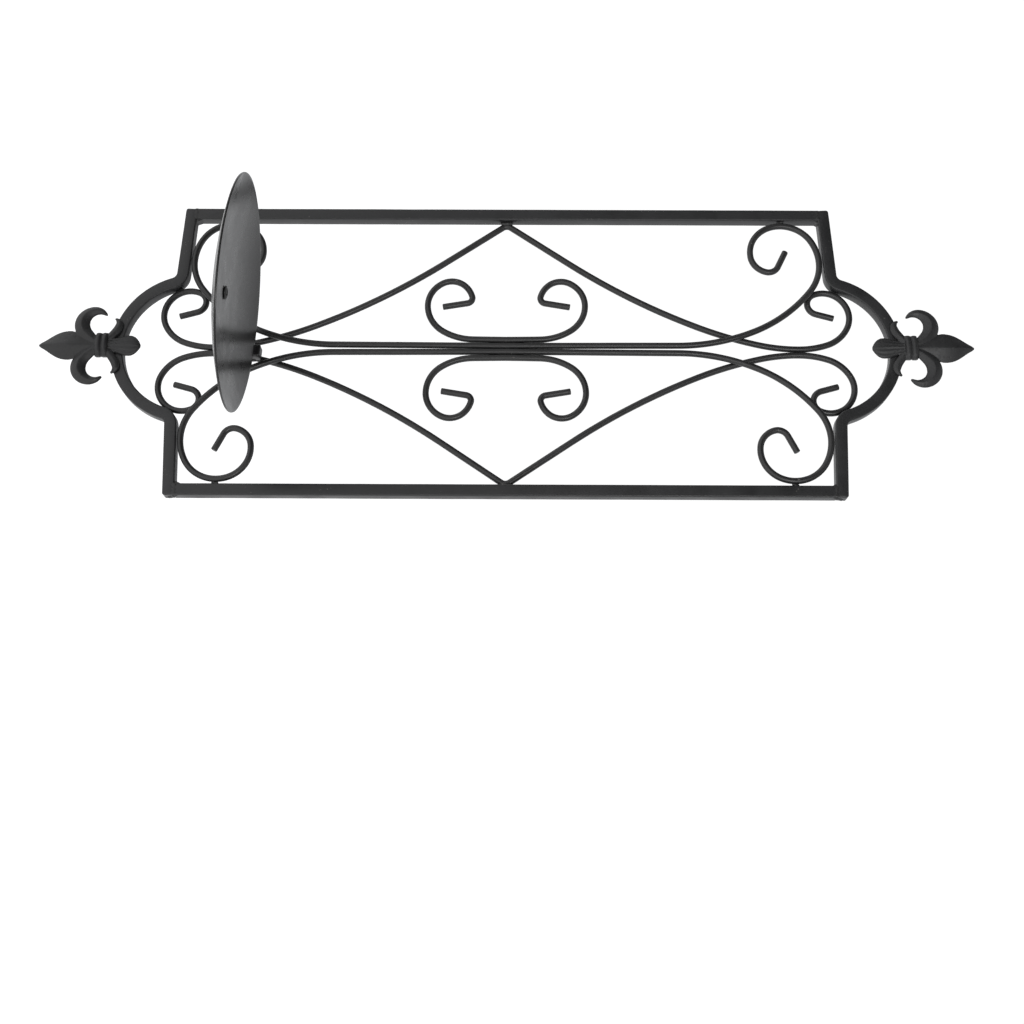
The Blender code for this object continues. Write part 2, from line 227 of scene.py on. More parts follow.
def bend(start, heading, schedule, step=3.0):
    """Follows a bend schedule. Returns points and the directions there, both (height, offset).
    step is the greatest turn between points, in degrees."""
    place, angle = Vector(start), math.radians(heading)
    points, ways = [place.copy()], [Vector((math.cos(angle), math.sin(angle)))]
    for kind, amount in schedule:
        if kind == "straight":
            count = max(2, math.ceil(amount / STRAIGHT_STEP))
            origin, way = place.copy(), Vector((math.cos(angle), math.sin(angle)))
            for i in range(1, count + 1):
                place = origin + way * (amount * i / count)
                points.append(place.copy())
                ways.append(way)
            continue
        sweep = math.radians(amount)
        side = math.copysign(1, sweep)
        centre = place + side * kind * Vector((-math.sin(angle), math.cos(angle)))
        fine = step if kind < WIDE_BEND else step / 3
        count = max(3, math.ceil(abs(amount) / fine))
        for i in range(1, count + 1):
            turned = angle + sweep * i / count
            place = centre - side * kind * Vector((-math.sin(turned), math.cos(turned)))
            points.append(place.copy())
            ways.append(Vector((math.cos(turned), math.sin(turned))))
        angle += sweep
    return points, ways


def both_ends(points, ways):
    """Adds the mirror image below the middle."""
    lower = [Vector((-p.x, p.y)) for p in reversed(points[1:])]
    lower_ways = [Vector((w.x, -w.y)) for w in reversed(ways[1:])]
    return lower + points, lower_ways + ways


def distances(points):
    """How far along the line each point lies."""
    total, result = 0.0, [0.0]
    for a, b in zip(points, points[1:]):
        total += (b - a).length
        result.append(total)
    return result


# ---------------------------------------------------------------- rods

ROD_SIDES = 20
ROD_END = 0.6                  # length of the rounded end, cut as follows
ROD_END_CUT = [(0.0, 0.62), (0.06, 0.84), (0.22, 0.96), (0.5, 1.0)]   # distance in, share of radius
ROD_UNEVEN = 0.018             # share of the radius
ROD_UNEVEN_LENGTH = 9.0
ROD_WANDER = 0.10              # in depth
ROD_WANDER_LENGTH = 40.0


def rod(name, line, layer, side, seed, material):
    """A round rod, bent by hand: its thickness and its depth wander a little."""
    points, ways = both_ends(*line)
    along = distances(points)
    length = along[-1]
    first, last = points[0], points[-1]
    start = [(first + ways[0] * d, ways[0], d, share) for d, share in ROD_END_CUT]
    middle = [(p, w, s, 1.0) for p, w, s in zip(points, ways, along)
              if ROD_END < s < length - ROD_END]
    end = [(last - ways[-1] * d, ways[-1], length - d, share) for d, share in reversed(ROD_END_CUT)]
    rings = []
    for place, way, s, share in start + middle + end:
        across = Vector((-way.y, way.x))
        radius = ROD_RADIUS * share * (1 + ROD_UNEVEN * wobble(s, 0, 0, ROD_UNEVEN_LENGTH, seed))
        depth = layer + ROD_WANDER * wobble(s, 0, 0, ROD_WANDER_LENGTH, seed + 0.5)
        ring = []
        for j in range(ROD_SIDES):
            turn = 2 * math.pi * j / ROD_SIDES
            spot = place + across * (radius * math.cos(turn))
            ring.append((side * spot.y, depth + radius * math.sin(turn), spot.x))
        rings.append(ring)
    return skin(name, *loft(rings), material)


# ---------------------------------------------------------------- square bar

BAR_UNEVEN = 0.035
BAR_UNEVEN_LENGTH = 16.0
END_STEPS = 4


def bar_outline():
    """The bar's cross-section: a square with rounded edges."""
    flat = BAR / 2 - BAR_ROUNDING
    outline = []
    for quarter in range(4):
        middle = math.pi / 4 + quarter * math.pi / 2
        cx = flat * math.copysign(1, math.cos(middle))
        cy = flat * math.copysign(1, math.sin(middle))
        for i in range(CORNER_STEPS + 1):
            turn = quarter * math.pi / 2 + math.pi / 2 * i / CORNER_STEPS
            outline.append((cx + BAR_ROUNDING * math.cos(turn), cy + BAR_ROUNDING * math.sin(turn)))
    return outline


def corner_cut(radius, distance):
    """How much a round corner takes off a face, at a distance in from the end."""
    if distance >= radius:
        return 0.0
    return radius - math.sqrt(radius ** 2 - (radius - distance) ** 2)


def rounded_end(rounding):
    """A rounded bar end: (distance in, how much every face is set in there)."""
    rows = []
    for i in range(END_STEPS + 1):
        turn = math.pi / 2 * i / END_STEPS
        rows.append((rounding * (1 - math.cos(turn)), rounding * (1 - math.sin(turn))))
    for i in range(1, END_STEPS + 1):
        rows.append((rounding * (1 + 0.3 * i), 0.0))
    return rows


def bar(name, points, ways, place, seed, material, end_rounding=0.8, drawn=None, ground=(0, 0)):
    """Sweeps the bar along a line; its faces are slightly uneven and its ends rounded over.

    place gives the point (x, y, z) for a point of the line's plane and a depth. drawn is a
    (distance, thickness): from that distance on the bar is drawn out thinner to its last point.
    ground is how far each end's outer corner has been ground round."""
    along = distances(points)
    length = along[-1]
    half = BAR / 2
    rows = rounded_end(end_rounding)
    head = [(points[0] + ways[0] * d, ways[0], d, inset) for d, inset in rows]
    tail = [(points[-1] - ways[-1] * d, ways[-1], length - d, inset) for d, inset in reversed(rows)]
    middle = [(p, w, s, 0.0) for p, w, s in zip(points, ways, along) if head[-1][2] < s < tail[0][2]]
    outline = bar_outline()
    rings = []
    for here, way, s, inset in head + middle + tail:
        across = Vector((-way.y, way.x))
        shrink = (half - inset) / half
        thin = 1.0
        if drawn and s > drawn[0]:
            thin = 1 - (1 - drawn[1] / BAR) * (s - drawn[0]) / (length - drawn[0])
        cut = max(corner_cut(ground[0], s), corner_cut(ground[1], length - s))
        ring = []
        for a, b in outline:
            uneven = BAR_UNEVEN * wobble(s, a * 3, b * 3, BAR_UNEVEN_LENGTH, seed)
            size = shrink + uneven / half
            flat = min(a * size, half - cut)
            spot = here + across * ((flat + half) * thin - half)
            ring.append(place(spot.x, spot.y, b * size))
        rings.append(ring)
    return skin(name, *loft(rings), material, sharp=50)


def end_piece_line():
    """An end piece's whole centre line, in (x, z), and its directions."""
    outward = [(ARCH_RADIUS, -ARCH_HALF_ANGLE),
               (SHOULDER_BEND_RADIUS, ARCH_HALF_ANGLE - SHOULDER_SPLAY)]
    points, ways = bend((0, ARCH_APEX), 0, outward)
    run = (RAIL_X + BAR / 2 - points[-1].x) / math.cos(math.radians(SHOULDER_SPLAY))
    rest, rest_ways = bend(points[-1], -SHOULDER_SPLAY, [("straight", run)])
    return both_ends(points + rest[1:], ways + rest_ways[1:])


def end_piece_points(up):
    """An end piece's centre line as points (x, y, z), in the V scrolls' layer."""
    return [Vector((p.x, BACK_LAYER, up * p.y)) for p in end_piece_line()[0]]


def end_piece(name, up, seed, material):
    """The bar bent into an arch with a shoulder on each side."""
    points, ways = end_piece_line()
    return bar(name, points, ways, lambda x, z, y: (x, PANEL_MIDDLE + y, up * z), seed, material,
               ground=END_GROUND)


def rail(name, side, seed, material):
    """A straight upright of the frame."""
    count = 60
    half = RAIL_END + RAIL_OVERRUN
    points = [Vector((-half + 2 * half * i / count, side * RAIL_X)) for i in range(count + 1)]
    ways = [Vector((1, 0))] * (count + 1)
    return bar(name, points, ways, lambda z, x, y: (x, PANEL_MIDDLE + y, z), seed, material,
               end_rounding=RAIL_END_ROUNDING)


def dish_arm(name, seed, material):
    """The L under the dish: a short tab behind, then the arm running out under the floor, rising
    and leaning with the dish."""
    tab = BACK_LAYER - ROD_RADIUS - BAR / 2 - DISH_MIDDLE.y
    under = -DISH_WALL - ARM_CLEARANCE - BAR / 2
    to_corner = (tab - under * math.sin(FRONT_RISE)) / math.cos(FRONT_RISE)
    corner = under * math.cos(FRONT_RISE) - to_corner * math.sin(FRONT_RISE)
    sweep = 90 + math.degrees(FRONT_RISE)
    tangent = ARM_BEND_RADIUS * math.tan(math.radians(sweep / 2))
    top = ARM_TOP - DISH_MIDDLE.z
    drop = top - corner - tangent
    run = to_corner - tangent + ARM_OVERHANG
    points, ways = bend((tab, top), -90,
                        [("straight", drop), (ARM_BEND_RADIUS, -sweep), ("straight", run)])
    turn = Matrix.Rotation(-ARM_YAW, 3, DISH_UP) @ Euler((0, SIDE_RISE, 0)).to_matrix()
    drawn = (distances(points)[-1] - run, ARM_TIP_THICKNESS)
    return bar(name, points, ways, lambda y, z, x: DISH_MIDDLE + turn @ Vector((x, y, z)), seed,
               material, drawn=drawn)


# ---------------------------------------------------------------- turned pieces

DISH_STEPS = 56
DISH_SEGMENTS = 216
SCREW_SEGMENTS = 64
THREAD_STEPS = 8               # in one turn
CROWN_STEPS = 16
PRESS_HALF_WIDTH = 0.8         # of the step round the pressed seat


def on_dish(radius, angle, height):
    """A point given by its radius, angle and height about the dish's axis, from its floor."""
    spot = Vector((radius * math.cos(angle), radius * math.sin(angle), height))
    return DISH_MIDDLE + LEAN @ spot


def bowl_height(radius):
    """Height of the dish's inside above its floor: a pressed seat for the screw in the middle, a
    flat floor, then a round rise."""
    run = RIM_RADIUS - DISH_FLOOR_RADIUS
    sphere = (run * run + DISH_DEPTH * DISH_DEPTH) / (2 * DISH_DEPTH)
    out = max(0.0, radius - DISH_FLOOR_RADIUS)
    height = sphere - math.sqrt(sphere * sphere - out * out)
    if radius < SCREW_SEAT_RADIUS + PRESS_HALF_WIDTH:
        sunk = min(1.0, (SCREW_SEAT_RADIUS + PRESS_HALF_WIDTH - radius) / (2 * PRESS_HALF_WIDTH))
        height -= SCREW_SEAT_DEPTH * sunk * sunk * (3 - 2 * sunk)
    return height


def candle_dish(material):
    """Spun sheet steel: a pierced floor, a soft break into the bowl and a rounded raw rim. The
    bowl is a little out of true."""
    start = HOLE_RADIUS + HOLE_SOFTENING
    radii = [start + (RIM_RADIUS - start) * i / DISH_STEPS for i in range(DISH_STEPS + 1)]
    inside = [(radius, bowl_height(radius)) for radius in radii]
    edge = inside[-1]
    lip = [(edge[0] + out, edge[1] + rise) for out, rise in RIM_LIP]
    outside = [(r + RIM_SPREAD * r / RIM_RADIUS, h - DISH_WALL) for r, h in reversed(inside)]
    outside[0] = (edge[0] + 0.34, edge[1] - DISH_WALL)
    profile = [(HOLE_RADIUS, -0.5)] + inside + lip + outside + [(HOLE_RADIUS, -DISH_WALL + 0.2)]
    rings = []
    for i in range(DISH_SEGMENTS):
        turn = 2 * math.pi * i / DISH_SEGMENTS
        ring = []
        for radius, height in profile:
            share = (radius / RIM_RADIUS) ** 2
            off = sum(rise * share * math.sin(waves * turn + phase)
                      for waves, rise, phase in DISH_UNTRUE)
            ring.append(on_dish(radius, turn, height + off))
        rings.append(ring)
    return skin("candle_dish_spun", *loft(rings, loop=True), material, sharp=35)


def recess(radius, angle):
    """Depth of the cross recess at a point of the screw's head."""
    x = radius * math.cos(angle + RECESS_TURN)
    y = radius * math.sin(angle + RECESS_TURN)

    def slot(wide, long):
        """1 well inside one slot of the cross, and 0 outside it."""
        return (max(1 - (abs(wide) / RECESS_HALF_WIDTH) ** 4, 0)
                * max(1 - (abs(long) / RECESS_REACH) ** 6, 0))

    return RECESS_DEPTH * min(1.0, max(slot(x, y), slot(y, x)) * 1.6)


def dish_screw(material):
    """A low round-headed screw with a cross recess, and a rolled thread below the head."""
    seat = GAP - SCREW_SEAT_DEPTH
    end = seat - SCREW_LENGTH
    turns = [2 * math.pi * j / SCREW_SEGMENTS for j in range(SCREW_SEGMENTS)]

    def flat_ring(radius, height):
        return [on_dish(radius, turn, height) for turn in turns]

    def thread_ring(height):
        ring = []
        for turn in turns:
            phase = (height / THREAD_PITCH - turn / (2 * math.pi)) % 1.0
            radius = THREAD_RADIUS - THREAD_DEPTH * abs(2 * phase - 1) ** 1.4
            ring.append(on_dish(radius, turn, height))
        return ring

    def crown_ring(radius):
        height = seat + HEAD_HEIGHT * (1 - 0.62 * (radius / HEAD_RADIUS) ** 3.2)
        return [on_dish(radius, turn, height - recess(radius, turn)) for turn in turns]

    rings = [flat_ring(radius, end + rise) for radius, rise in SCREW_TIP]
    steps = round(SCREW_LENGTH / THREAD_PITCH * THREAD_STEPS)
    rings += [thread_ring(end + (seat - end) * i / steps) for i in range(1, steps + 1)]
    rings += [flat_ring(HEAD_RADIUS - 0.2, seat), flat_ring(HEAD_RADIUS, seat + 0.18)]
    rings += [crown_ring(HEAD_RADIUS * (1 - i / CROWN_STEPS)) for i in range(CROWN_STEPS)]
    rings.append(flat_ring(0.02, seat + HEAD_HEIGHT - RECESS_DEPTH))
    return skin("dish_screw_pan_head", *loft(rings), material, sharp=60)


# ---------------------------------------------------------------- lumps: castings and weld beads

def fuse(name, parts, voxel, rounds, material):
    """Joins closed shapes, given as (points, faces), into one soft-edged skin, as metal that has run
    together. voxel is the fineness in millimetres, and rounds how often it is smoothed."""
    points, faces = [], []
    for part_points, part_faces in parts:
        base = len(points)
        points += part_points
        faces += [tuple(base + i for i in face) for face in part_faces]
    rough = skin(name + "_rough", points, faces, material, sharp=None)
    remesh = rough.modifiers.new("fuse", "REMESH")
    remesh.mode = "VOXEL"
    remesh.voxel_size = voxel * MM
    remesh.use_smooth_shade = True
    soften = rough.modifiers.new("soften", "SMOOTH")
    soften.iterations = rounds
    bpy.context.view_layer.update()
    shape = rough.evaluated_get(bpy.context.evaluated_depsgraph_get())
    mesh = bpy.data.meshes.new_from_object(shape)
    mesh.name = name
    mesh.shade_smooth()
    thing = bpy.data.objects.new(name, mesh)
    bpy.context.collection.objects.link(thing)
    old = rough.data
    bpy.data.objects.remove(rough)
    bpy.data.meshes.remove(old)
    return thing


# Shares of a bead's radius: between its puddles, off its path, and in its puddles' sizes
BEAD_SPACING = 0.55
BEAD_JITTER = 0.22
BEAD_UNEVEN = 0.20


def ball(centre, radius, stretch=(1, 1, 1)):
    """Points and faces of a lump of weld metal."""
    shape = bmesh.new()
    bmesh.ops.create_icosphere(shape, subdivisions=3, radius=radius)
    points = [(centre[0] + v.co.x * stretch[0], centre[1] + v.co.y * stretch[1],
               centre[2] + v.co.z * stretch[2]) for v in shape.verts]
    faces = [tuple(v.index for v in face.verts) for face in shape.faces]
    shape.free()
    return points, faces


def along_path(path, distance):
    """The point at a distance along a path of straight legs."""
    for a, b in zip(path, path[1:]):
        a, b = Vector(a), Vector(b)
        step = (b - a).length
        if distance <= step:
            return a.lerp(b, distance / step if step else 0)
        distance -= step
    return Vector(path[-1])


def bead(name, path, radius, seed, material, stretch=(1, 1, 1)):
    """A short weld: overlapping puddles of metal along a path."""
    length = distances([Vector(p) for p in path])[-1]
    count = max(2, round(length / (radius * BEAD_SPACING)))
    lumps = []
    for i in range(count + 1):
        spot = along_path(path, length * i / count)
        shift = Vector([wobble(i, k * 5, 0, 0.7, seed) for k in range(3)]) * radius * BEAD_JITTER
        size = radius * (1 + BEAD_UNEVEN * wobble(i, 9, 0, 0.9, seed))
        lumps.append(ball(spot + shift, size, stretch))
    return fuse(name, lumps, voxel=0.28, rounds=3, material=material)


def smooth_rows(rows, per_span=8):
    """A smooth line through rows of numbers; each column runs smoothly from row to row."""
    result = []
    for i in range(len(rows) - 1):
        before, start, end = rows[max(i - 1, 0)], rows[i], rows[i + 1]
        after = rows[min(i + 2, len(rows) - 1)]
        for k in range(per_span):
            t = k / per_span
            result.append([0.5 * (2 * a + (b - z) * t + (2 * z - 5 * a + 4 * b - c) * t * t
                                  + (3 * a - z - 3 * b + c) * t ** 3)
                           for z, a, b, c in zip(before, start, end, after)])
    result.append(list(rows[-1]))
    return result


FINIAL_BACK = PANEL_FRONT + 0.15     # the casting's flat back bites a little into the arch
LEAF_ACROSS = 18
LEAF_BACK = 8
BACK_SHARE = 0.96              # of the leaf's width, so that its edges draw in towards the back


def leaf(rows, up, roof=0.0, lean=0.0, flutes=0.0):
    """A flat-backed blade along rows of (height above the arch's line, x, half width, ridge height,
    edge height). roof 1 gives it two flat flanks, and 0 a round back; lean moves its ridge, and
    flutes is the depth of grooves that fade out towards its tip."""
    fine = smooth_rows(rows)
    rings = []
    for i, (height, x, half, ridge, edge) in enumerate(fine):
        near, far = fine[max(i - 1, 0)], fine[min(i + 1, len(fine) - 1)]
        way = Vector((far[0] - near[0], far[1] - near[1])).normalized()
        across = Vector((-way.y, way.x))
        ring = []
        for k in range(LEAF_ACROSS + 1):
            s = -1 + 2 * k / LEAF_ACROSS
            t = (s - lean) / (1 - lean) if s > lean else (s - lean) / (1 + lean)
            flank = 1 - abs(t) ** 1.15
            dome = math.sqrt(max(0.0, 1 - t * t))
            rise = edge + (ridge - edge) * (roof * flank + (1 - roof) * dome)
            rise += flutes * math.cos(5 * math.pi * s) * (1 - i / len(fine))
            spot = Vector((height, x)) + across * (half * s)
            ring.append((spot.y, FINIAL_BACK - rise, up * (ARCH_APEX + spot.x)))
        for k in range(1, LEAF_BACK):
            s = 1 - 2 * k / LEAF_BACK
            spot = Vector((height, x)) + across * (half * s * BACK_SHARE)
            ring.append((spot.y, FINIAL_BACK, up * (ARCH_APEX + spot.x)))
        rings.append(ring)
    return loft(rings)


PETAL = [(9, 0, 3.4, 2.6, 1.6), (13.5, 0, 4.2, 3.1, 1.5), (17, 0, 5.6, 3.6, 1.3),
         (21, 0, 7.5, 4.2, 1.1), (25, 0, 8.7, 4.6, 1.0), (28.5, 0, 8.7, 4.6, 0.9),
         (32, 0, 7.6, 4.2, 0.9), (35.5, 0, 5.5, 3.5, 0.9), (38.8, 0, 3.1, 2.6, 0.9),
         (41.3, 0, 1.5, 1.9, 0.8), (42.5, 0, 0.5, 1.2, 0.7)]
CURL = [(10, 1.5, 2.4, 3.0, 1.4), (14.0, 4.0, 3.4, 3.4, 1.4), (17.8, 7.6, 4.1, 3.6, 1.2),
        (19.6, 11.6, 4.4, 3.8, 1.1), (19.2, 15.6, 4.2, 3.7, 1.1), (16.8, 18.9, 3.6, 3.4, 1.0),
        (13.2, 20.6, 2.8, 3.0, 1.0), (9.8, 20.4, 1.9, 2.5, 0.9), (7.4, 19.0, 1.0, 1.9, 0.8),
        (6.6, 18.2, 0.5, 1.4, 0.7)]
TAIL = [(6.0, 0, 4.6, 3.2, 1.6), (2.5, 0, 4.3, 3.1, 1.5), (-0.8, 0, 4.7, 3.0, 1.3),
        (-4.2, 0, 5.8, 2.9, 1.0), (-7.4, 0, 6.2, 2.7, 0.9), (-10.2, 0, 5.2, 2.3, 0.9),
        (-12.2, 0, 3.0, 1.8, 0.8), (-13.3, 0, 0.8, 1.2, 0.7)]
FOOT = [(4.6, 3.4, 2.0, 3.4, 1.8), (2.2, 6.4, 2.3, 3.1, 1.6), (0.0, 9.6, 2.4, 2.8, 1.4),
        (-0.8, 12.8, 2.1, 2.5, 1.2), (0.2, 15.0, 1.3, 2.0, 1.0), (1.8, 16.2, 0.5, 1.3, 0.7)]
RING_HEIGHTS = (5.9, 9.4)
RING_HALF_WIDTH = 6.9
RING_HALF_THICKNESS = 1.75
RING_EDGE_DROP = 1.5


def collar(height):
    """Rows of a ring that lies across the stem, highest in the middle."""
    rows = []
    for k in range(9):
        x = RING_HALF_WIDTH * (k / 4 - 1)
        girth = math.sqrt(max(0.0, 1 - (x / (RING_HALF_WIDTH * 1.04)) ** 2))
        top = 2.0 + 3.0 * girth
        rows.append((height, x, RING_HALF_THICKNESS, top, top - RING_EDGE_DROP))
    return rows


def finial(name, up, material):
    """The fleur-de-lis casting: petal, two curls, a double ring, a spade tail and two feet."""
    parts = [leaf(PETAL, up, roof=1.0, lean=0.08), leaf(TAIL, up, roof=0.6, flutes=0.3)]
    for side in (-1, 1):
        for rows, roof in ((CURL, 0.6), (FOOT, 0.4)):
            mirrored = [(row[0], side * row[1]) + tuple(row[2:]) for row in rows]
            parts.append(leaf(mirrored, up, roof))
    parts += [leaf(collar(height), up) for height in RING_HEIGHTS]
    return fuse(name, parts, voxel=0.26, rounds=2, material=material)


# ---------------------------------------------------------------- welds

def scroll_lines(side):
    """The centre lines of one side's scrolls as points (x, y, z)."""
    lines = {}
    for kind, line, layer in SCROLLS:
        points, _ = both_ends(*bend(*line))
        lines[kind] = [Vector((side * p.y, layer, p.x)) for p in points]
    return lines


def crossings(first, second):
    """Where two lines cross, seen from the front: a list of (x, z)."""
    found = []
    for a, b in zip(first, first[1:]):
        for c, d in zip(second, second[1:]):
            run, other = b - a, d - c
            cross = run.x * other.z - run.z * other.x
            if abs(cross) < 1e-9:
                continue
            t = ((c.x - a.x) * other.z - (c.z - a.z) * other.x) / cross
            u = ((c.x - a.x) * run.z - (c.z - a.z) * run.x) / cross
            if 0 <= t < 1 and 0 <= u < 1:
                spot = a + run * t
                found.append((spot.x, spot.z))
    return found


def nearest(first, second):
    """The point of the first line that comes nearest to the second, the way there and how far."""
    pairs = ((a, b) for a in first for b in second)
    spot, target = min(pairs, key=lambda pair: (pair[1] - pair[0]).length)
    return spot, (target - spot).normalized(), (target - spot).length


def web(corner, along, across, low, high):
    """Points and faces of a web in an inside corner: its legs run along and across from the corner,
    given as (x, z) steps, and it spans the depths low to high."""
    x, z = corner
    outline = [(x - 0.25 * across[0], z - 0.25 * along[1]), (x - 0.25 * across[0], z + along[1]),
               (x + 0.38 * across[0], z + 0.42 * along[1]), (x + across[0], z - 0.25 * along[1])]
    return loft([[(px, low, pz) for px, pz in outline], [(px, high, pz) for px, pz in outline]])


# At a corner the rail ends and the end piece lies over it. Their seam is at this height.
SEAM = RAIL_END + GAP
RAIL_INNER = RAIL_X - BAR / 2
RAIL_OUTER = RAIL_X + BAR / 2


def corner_web(name, up, side, seed, material):
    """The weld in the inside corner, larger at the bottom: a web with lumps down its edge."""
    tall, wide = (2.6, 1.5) if up > 0 else (4.4, 2.0)
    x = side * RAIL_INNER
    z = up * (SEAM + math.tan(math.radians(SHOULDER_SPLAY)) * BAR)
    parts = [web((x, z), (0, -up * tall), (-side * wide, 0), PANEL_FRONT + 0.7,
                 PANEL_MIDDLE + BAR / 2 - 1.0)]
    for k in range(5):
        depth = PANEL_FRONT + 1.5 + k * (BAR - 3) / 4
        size = 0.75 + 0.25 * wobble(k, 0, 0, 0.8, seed)
        parts.append(ball((x - side * 0.3, depth, z - up * 0.5), size))
    return fuse(name, parts, voxel=0.25, rounds=4, material=material)


def corner_seam(name, up, side, seed, material):
    """The seam across the front, dressed nearly flat."""
    depth = PANEL_FRONT + 0.42
    path = [(side * (RAIL_INNER + 1.0), depth, up * (SEAM + 0.5)),
            (side * (RAIL_OUTER - 0.9), depth, up * (SEAM + 0.3))]
    return bead(name, path, 0.95, seed, material, (1, 0.52, 2.0))


def corner_run(name, up, side, seed, material):
    """The run down the outer side, left lumpy on the right."""
    radius = 1.5 if side > 0 else 0.7
    sunk = RAIL_OUTER - 0.62 * radius
    path = [(side * sunk, PANEL_FRONT + 1.9, up * (SEAM - 0.6)),
            (side * (sunk + 0.1), PANEL_MIDDLE, up * (SEAM + 1.2)),
            (side * sunk, PANEL_MIDDLE + 1.2, up * (SEAM + 3.2))]
    return bead(name, path, radius, seed, material, (1, 1.25, 1))


def corner_welds(material):
    """Each corner's weld, in three pieces."""
    made = []
    for end_name, up in ENDS:
        for side_name, side in SIDES:
            corner = f"{end_name}_{side_name}"
            seed = 60 + 7 * up + 3 * side
            made.append((corner_web(f"corner_weld_{corner}_web", up, side, seed, material),
                         [f"corner_weld_{corner}"]))
            made.append((corner_seam(f"corner_seam_{corner}", up, side, seed + 1, material), []))
            made.append((corner_run(f"corner_run_{corner}", up, side, seed + 2, material), []))
    return made


def rail_tack(name, long_line, up, side, seed, material):
    """Where a long scroll's large curl meets the rail."""
    outermost = max(p.x * side for p in long_line)
    spot = next(p for p in long_line if p.x * side > outermost - 1e-6 and p.z * up > 0)
    middle = (RAIL_INNER + outermost + ROD_RADIUS) / 2
    path = [(side * (middle - 0.3), FRONT_LAYER + 0.2, spot.z - 1.1),
            (side * (middle + 0.3), FRONT_LAYER + 0.2, spot.z + 1.1)]
    return bead(name, path, 0.95, seed, material)


def shoulder_tack(name, vee_line, up, seed, material):
    """Where a V scroll's curl comes nearest to the end piece's shoulder, or None if it's too far."""
    spot, way, apart = nearest(vee_line, end_piece_points(up))
    if apart >= ROD_RADIUS + BAR / 2 + 1.2:
        return None
    touch = spot + way * ROD_RADIUS
    along = Vector((way.z, 0, -way.x)) * 1.3
    return bead(name, [touch - along, touch + along], 0.85, seed, material)


def apex_weld(name, side, seed, material):
    """Where the point of the V meets the rail."""
    path = [(side * (RAIL_INNER - 0.5), BACK_LAYER - 1.3, -2.2),
            (side * (RAIL_INNER - 0.9), BACK_LAYER - 1.7, 0),
            (side * (RAIL_INNER - 0.5), BACK_LAYER - 1.3, 2.2)]
    return bead(name, path, 1.25, seed, material)


def scroll_welds(material):
    """Tacks where the scrolls meet the rails, the shoulders and one another."""
    made = []
    for side_name, side in SIDES:
        lines = scroll_lines(side)
        long_line, vee_line = lines["long_scroll"], lines["vee_scroll"]
        for end_name, up in ENDS:
            node = f"scroll_tack_{end_name}_{side_name}"
            seed = 90 + 5 * up + 2 * side
            made.append((rail_tack(f"{node}_bead", long_line, up, side, seed, material), [node]))
            tack = shoulder_tack(f"shoulder_tack_{end_name}_{side_name}", vee_line, up, seed + 20,
                                 material)
            if tack:
                made.append((tack, []))
        node = f"apex_weld_{side_name}"
        made.append((apex_weld(f"{node}_bead", side, 110 + side, material), [node]))
        for number, (x, z) in enumerate(crossings(long_line, vee_line)):
            path = [(x - 0.5, PANEL_MIDDLE, z - 1.0), (x + 0.5, PANEL_MIDDLE, z + 1.0)]
            made.append((bead(f"crossing_tack_{side_name}_{number}", path, 0.85, 120 + number,
                              material), []))
        touch = side * (LONG_SCROLL_START + ROD_RADIUS)
        for end_name, up in (("upper", 1), ("lower", -1)):
            path = [(touch, FRONT_LAYER + 0.9, up * 5.0), (touch, FRONT_LAYER + 0.9, up * 9.0)]
            made.append((bead(f"middle_tack_{end_name}_{side_name}", path, 0.8, 130 + up, material),
                         []))
    return made


def arm_welds(material):
    """Fillets down both sides of the arm's tab, onto the V scrolls behind it."""
    made = []
    depth = BACK_LAYER - ROD_RADIUS
    middle = (ARM_LOW.x + ARM_HIGH.x) / 2 + 2.2
    for side_name, side in SIDES:
        path = [(middle + side * 3.1, depth, ARM_HIGH.z - 4.0),
                (middle + side * 3.2, depth, ARM_HIGH.z - 9.5)]
        made.append((bead(f"arm_weld_{side_name}", path, 0.8, 150 + side, material), []))
    return made


def welds(material):
    """Every weld: (piece, the CAD nodes that it stands for, slot)."""
    made = corner_welds(material) + scroll_welds(material) + arm_welds(material)
    return [(piece, nodes, "weld_black") for piece, nodes in made]


# ---------------------------------------------------------------- materials

DUST = (0.11, 0.105, 0.10)
RUBBED_COAT = (0.055, 0.054, 0.053)
CHIPPED_COAT = (0.16, 0.15, 0.14)
CHIP_DEPTH = 0.05
SPIN_PITCH = 1.6
SPIN_HEIGHT = 0.003


